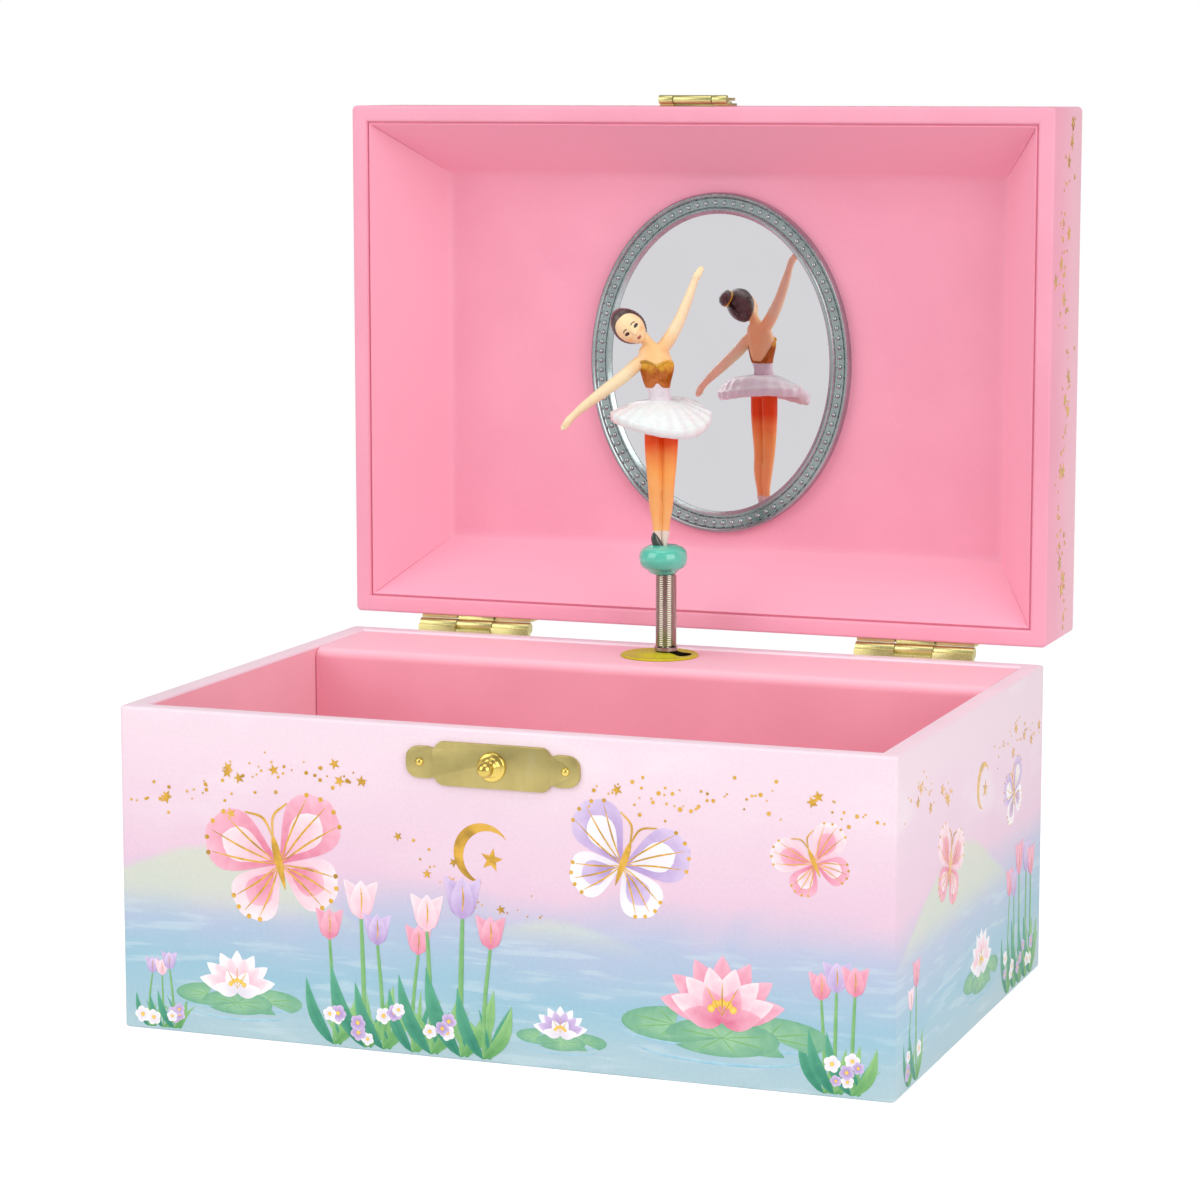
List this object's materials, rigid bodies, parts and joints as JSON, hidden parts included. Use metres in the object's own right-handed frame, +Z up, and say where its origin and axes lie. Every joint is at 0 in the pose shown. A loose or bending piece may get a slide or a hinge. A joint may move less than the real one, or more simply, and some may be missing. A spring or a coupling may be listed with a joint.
{
  "type": "wind-up music box",
  "caption": "Wind-up musical jewellery box with a hinged lid, oval mirror, lined compartment, and a dancer on a spring that folds under the lid and turns with the movement.",
  "frame": {"origin": "middle of the base's underside", "axes": "+X to the right seen from the front, +Y to the back where the lid hinges, +Z up"},
  "size_m": [0.152, 0.1384, 0.1755],
  "materials": {
    "printed_paper_board": "printed paper, satin varnish",
    "plain_board": "plain paper-covered fibreboard",
    "pink_lining": "satin lining paper",
    "aged_brass": "dull brass plate",
    "bright_brass": "bright brass",
    "steel": "plain steel",
    "silver_frame": "silvered plastic",
    "mirror": "silvered glass",
    "turquoise_plastic": "glossy",
    "green_plastic": "glossy",
    "painted_figure": "hand-painted plastic",
    "white_skirt": "white plastic"
  },
  "bodies": {
    "box_base": {"base_front": "printed_paper_board", "base_back": "printed_paper_board", "base_left": "printed_paper_board", "base_right": "printed_paper_board", "base_floor": "plain_board", "compartment_lining": "pink_lining", "compartment_partition": "pink_lining", "dancer_ledge": "pink_lining", "ledge_rosette": "bright_brass", "latch_plate": "aged_brass", "latch_knob": "bright_brass", "latch_nails": "aged_brass", "hinge_left_base_leaf": "bright_brass", "hinge_right_base_leaf": "bright_brass", "hinge_pins": "bright_brass", "hinge_base_nails": "bright_brass", "bedplate": "steel", "movement_screws": "steel", "spring_cup": "bright_brass", "mainspring": "steel", "lower_bearing": "bright_brass", "upper_bearing": "bright_brass", "music_comb": "steel", "comb_bridge": "bright_brass", "governor_frame": "bright_brass"},
    "lid": {"lid_top": "printed_paper_board", "lid_front": "printed_paper_board", "lid_back": "printed_paper_board", "lid_left": "printed_paper_board", "lid_right": "printed_paper_board", "liner_front": "pink_lining", "liner_back": "pink_lining", "liner_left": "pink_lining", "liner_right": "pink_lining", "liner_ceiling": "pink_lining", "mirror_frame": "silver_frame", "mirror_glass": "mirror", "hinge_left_lid_leaf": "bright_brass", "hinge_right_lid_leaf": "bright_brass", "hinge_lid_nails": "bright_brass", "hasp_leaf": "aged_brass", "hasp_pin": "aged_brass", "hasp_nails": "aged_brass"},
    "hasp": {"hasp_flap": "aged_brass"},
    "main_wheel": {"main_gear": "bright_brass"},
    "winder": {"winding_arbor": "steel", "winding_key": "bright_brass"},
    "cylinder": {"drive_shaft": "steel", "music_cylinder": "bright_brass", "cylinder_gear": "bright_brass"},
    "governor": {"governor_arbor": "steel", "worm_wheel": "bright_brass"},
    "fan": {"worm_shaft": "steel", "governor_fan": "steel"},
    "coil": {"dancer_spring": "steel"},
    "dancer": {"dancer_stand": "turquoise_plastic", "stand_peg": "green_plastic", "dancer_figure": "painted_figure", "dancer_tutu": "white_skirt"}
  },
  "joints": [
    {"name": "lid_hinge", "type": "hinge", "parent": "box_base", "child": "lid", "pos_m": [0, 0.056, 0.0632], "axis": [1, 0, 0], "range_deg": [0, 90]},
    {"name": "hasp_swing", "type": "hinge", "parent": "lid", "child": "hasp", "pos_m": [0, 0.0564, 0.1746], "axis": [1, 0, 0], "range_deg": [0, 180]},
    {"name": "cylinder_turn", "type": "hinge", "parent": "box_base", "child": "cylinder", "pos_m": [0, 0.0404, 0], "axis": [0, 0, 1], "continuous": true},
    {"name": "main_wheel_turn", "type": "hinge", "parent": "box_base", "child": "main_wheel", "pos_m": [0, 0, 0.0195], "axis": [0, 1, 0], "continuous": true},
    {"name": "key_wind", "type": "hinge", "parent": "main_wheel", "child": "winder", "pos_m": [0, 0, 0.0195], "axis": [0, -1, 0], "range_deg": [0, 1440]},
    {"name": "governor_turn", "type": "hinge", "parent": "box_base", "child": "governor", "pos_m": [-0.00905, 0.0404, 0], "axis": [0, 0, 1], "continuous": true},
    {"name": "fan_turn", "type": "hinge", "parent": "box_base", "child": "fan", "pos_m": [-0.01427, 0, 0.05276], "axis": [0, 1, 0], "continuous": true},
    {"name": "dancer_fold", "type": "hinge", "parent": "box_base", "child": "coil", "pos_m": [0, 0.0404, 0.0702], "axis": [1, 0, 0], "range_deg": [0, 105], "deforming": ["dancer_spring"]},
    {"name": "dancer_spin", "type": "hinge", "parent": "coil", "child": "dancer", "pos_m": [0, 0.0404, 0], "axis": [0, 0, 1], "continuous": true}
  ],
  "couplings": [
    {"joint": "main_wheel_turn", "follows": "cylinder_turn", "ratio": -0.16667},
    {"joint": "governor_turn", "follows": "cylinder_turn", "ratio": -5},
    {"joint": "fan_turn", "follows": "cylinder_turn", "ratio": -120},
    {"joint": "dancer_spin", "follows": "cylinder_turn", "ratio": 1},
    {"joint": "dancer_fold", "follows": "lid_hinge", "ratio": 1.1667}
  ]
}
